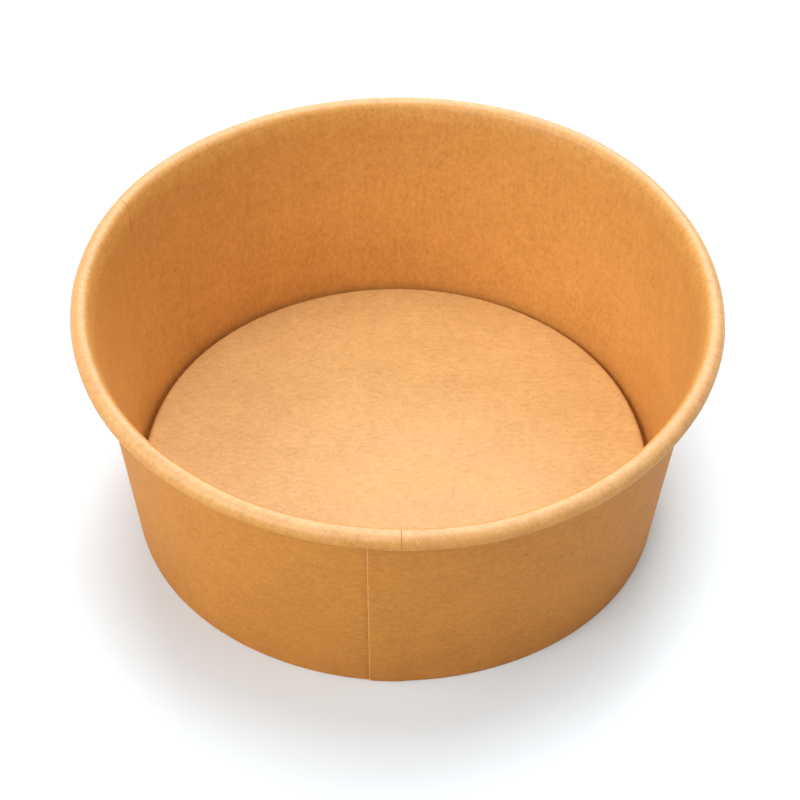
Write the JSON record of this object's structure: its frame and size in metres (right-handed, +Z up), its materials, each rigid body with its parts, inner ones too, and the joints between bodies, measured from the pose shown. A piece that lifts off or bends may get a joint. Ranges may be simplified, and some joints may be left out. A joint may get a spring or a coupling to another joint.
{
  "type": "kraft paper salad bowl",
  "caption": "Round open bowl of brown kraft paper board with a rolled rim, a lapped side seam and a recessed base, for salad and other takeaway food.",
  "frame": {"origin": "centre of the foot on the table plane", "axes": "+Z up along the bowl's axis, with the lap seam facing -Y"},
  "size_m": [0.15, 0.15, 0.061],
  "materials": {
    "wall_board": "satin kraft board",
    "base_board": "matte kraft board"
  },
  "bodies": {
    "root": {"side_wall": "wall_board", "base_disc": "base_board"}
  },
  "joints": []
}
